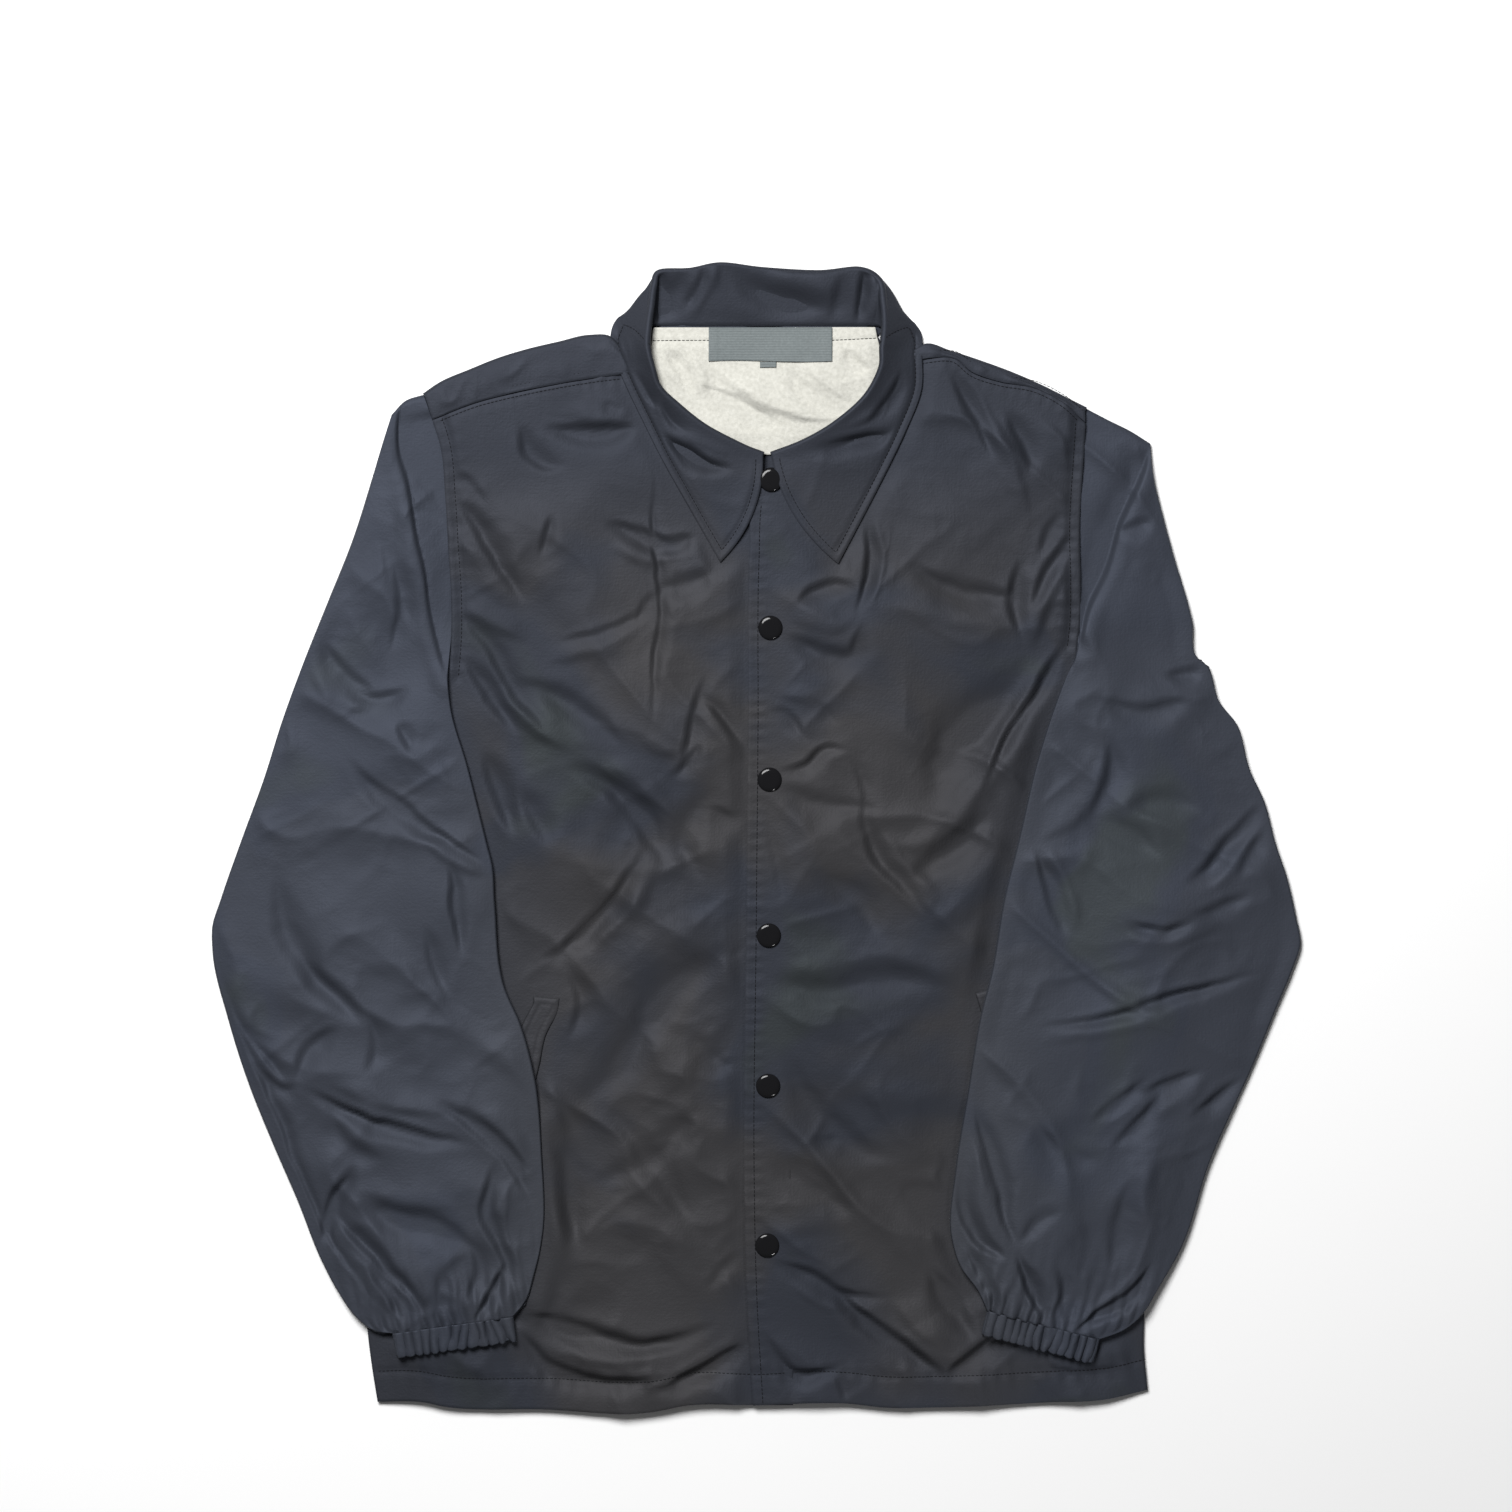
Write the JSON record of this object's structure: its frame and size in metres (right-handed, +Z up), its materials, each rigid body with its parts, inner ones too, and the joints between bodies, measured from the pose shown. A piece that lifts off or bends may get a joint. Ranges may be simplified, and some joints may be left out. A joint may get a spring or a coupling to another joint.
{
  "type": "coach jacket",
  "caption": "Coach jacket in dark grey nylon, laid flat with its snaps closed and its sleeves folded down over the fronts.",
  "frame": {"origin": "On the surface the jacket lies on, under the middle of its outline.", "axes": "+X towards the wearer's left sleeve (right in a view from above with the collar up), +Y towards the collar, +Z up from the surface, towards the fronts"},
  "size_m": [0.7065, 0.7452, 0.0172],
  "materials": {
    "body_cloth": "semi-dull plain-weave nylon",
    "sleeve_cloth": "semi-dull plain-weave nylon, slightly bluer",
    "lining": "brushed cream flannel",
    "label_cloth": "matt woven tape",
    "snap_cap": "gloss black enamel"
  },
  "bodies": {
    "root": {"back": "body_cloth", "front_right": "body_cloth", "front_left": "body_cloth", "collar": "body_cloth", "pocket_welt_right": "body_cloth", "pocket_welt_left": "body_cloth", "sleeve_right_under": "sleeve_cloth", "sleeve_right_top": "sleeve_cloth", "sleeve_left_under": "sleeve_cloth", "sleeve_left_top": "sleeve_cloth", "cuff_right": "sleeve_cloth", "cuff_left": "sleeve_cloth", "back_lining": "lining", "label": "label_cloth", "size_tab": "label_cloth", "snap_1": "snap_cap", "snap_2": "snap_cap", "snap_3": "snap_cap", "snap_4": "snap_cap", "snap_5": "snap_cap", "snap_6": "snap_cap"}
  },
  "joints": []
}
